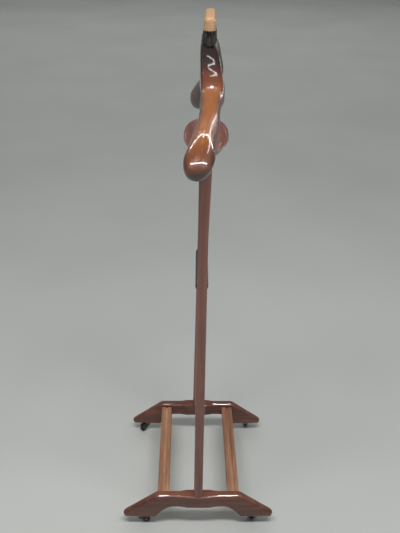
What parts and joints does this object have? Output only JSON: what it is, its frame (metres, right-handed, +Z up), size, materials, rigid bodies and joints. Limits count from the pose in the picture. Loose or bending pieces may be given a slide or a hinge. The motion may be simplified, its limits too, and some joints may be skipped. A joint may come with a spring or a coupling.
{
  "type": "rolling clothes valet stand",
  "caption": "Wooden clothes valet on castors: shaped coat hanger with a lift-off brush, oval tray, trouser bar and shoe rails between arched feet.",
  "frame": {"origin": "on the floor, in the middle of the stand's footprint", "axes": "+Z up, +X along the coat hanger, -Y the front that the hanger's ends point to"},
  "size_m": [0.4918, 0.34, 1.09],
  "materials": {
    "lacquered_wood": "dark reddish brown hardwood under thick gloss lacquer",
    "rail_wood": "lighter tan brown hardwood, satin lacquer",
    "brush_wood": "pale beech, satin",
    "dowel_wood": "bare beech",
    "bristle": "dense black bristle, matt",
    "grip_sleeve": "dark grey non-slip sleeve, matt",
    "zinc_steel": "zinc plated",
    "castor_plastic": "black moulded nylon",
    "wheel_rubber": "black, matt"
  },
  "bodies": {
    "stand": {"right_foot": "lacquered_wood", "left_foot": "lacquered_wood", "right_post": "lacquered_wood", "left_post": "lacquered_wood", "coat_hanger": "lacquered_wood", "tray_crossbar": "lacquered_wood", "valet_tray": "lacquered_wood", "trouser_bar": "lacquered_wood", "front_shoe_rail": "rail_wood", "rear_shoe_rail": "rail_wood", "trouser_bar_sleeve": "grip_sleeve", "right_hanger_dowel": "dowel_wood", "left_hanger_dowel": "dowel_wood", "front_right_rail_dowel": "dowel_wood", "front_left_rail_dowel": "dowel_wood", "rear_right_rail_dowel": "dowel_wood", "rear_left_rail_dowel": "dowel_wood", "right_crossbar_dowel": "dowel_wood", "left_crossbar_dowel": "dowel_wood", "right_post_screw": "zinc_steel", "left_post_screw": "zinc_steel", "right_tray_screw": "zinc_steel", "left_tray_screw": "zinc_steel", "front_right_castor_socket": "zinc_steel", "rear_right_castor_socket": "zinc_steel", "front_left_castor_socket": "zinc_steel", "rear_left_castor_socket": "zinc_steel"},
    "clothes_brush": {"brush_back": "brush_wood", "brush_bristles": "bristle"},
    "front_right_castor": {"front_right_castor_stem": "zinc_steel", "front_right_castor_fork": "castor_plastic", "front_right_castor_axle": "zinc_steel"},
    "front_right_wheel": {"front_right_castor_wheel": "wheel_rubber"},
    "rear_right_castor": {"rear_right_castor_stem": "zinc_steel", "rear_right_castor_fork": "castor_plastic", "rear_right_castor_axle": "zinc_steel"},
    "rear_right_wheel": {"rear_right_castor_wheel": "wheel_rubber"},
    "front_left_castor": {"front_left_castor_stem": "zinc_steel", "front_left_castor_fork": "castor_plastic", "front_left_castor_axle": "zinc_steel"},
    "front_left_wheel": {"front_left_castor_wheel": "wheel_rubber"},
    "rear_left_castor": {"rear_left_castor_stem": "zinc_steel", "rear_left_castor_fork": "castor_plastic", "rear_left_castor_axle": "zinc_steel"},
    "rear_left_wheel": {"rear_left_castor_wheel": "wheel_rubber"}
  },
  "joints": [
    {"name": "brush_lift", "type": "slide", "parent": "stand", "child": "clothes_brush", "axis": [0, 0, 1], "range_m": [0, 0.12]},
    {"name": "front_right_swivel", "type": "hinge", "parent": "stand", "child": "front_right_castor", "pos_m": [0.16, -0.132, 0.0215], "axis": [0, 0, 1], "continuous": true},
    {"name": "front_right_roll", "type": "hinge", "parent": "front_right_castor", "child": "front_right_wheel", "pos_m": [0.15774, -0.1192, 0.009], "axis": [-0.9848, -0.1736, 0], "continuous": true},
    {"name": "rear_right_swivel", "type": "hinge", "parent": "stand", "child": "rear_right_castor", "pos_m": [0.16, 0.132, 0.0215], "axis": [0, 0, 1], "continuous": true},
    {"name": "rear_right_roll", "type": "hinge", "parent": "rear_right_castor", "child": "rear_right_wheel", "pos_m": [0.14962, 0.12418, 0.009], "axis": [0.6018, -0.7986, 0], "continuous": true},
    {"name": "front_left_swivel", "type": "hinge", "parent": "stand", "child": "front_left_castor", "pos_m": [-0.16, -0.132, 0.0215], "axis": [0, 0, 1], "continuous": true},
    {"name": "front_left_roll", "type": "hinge", "parent": "front_left_castor", "child": "front_left_wheel", "pos_m": [-0.15164, -0.14196, 0.009], "axis": [0.766, 0.6428, 0], "continuous": true},
    {"name": "rear_left_swivel", "type": "hinge", "parent": "stand", "child": "rear_left_castor", "pos_m": [-0.16, 0.132, 0.0215], "axis": [0, 0, 1], "continuous": true},
    {"name": "rear_left_roll", "type": "hinge", "parent": "rear_left_castor", "child": "rear_left_wheel", "pos_m": [-0.1728, 0.13426, 0.009], "axis": [-0.1736, -0.9848, 0], "continuous": true}
  ]
}
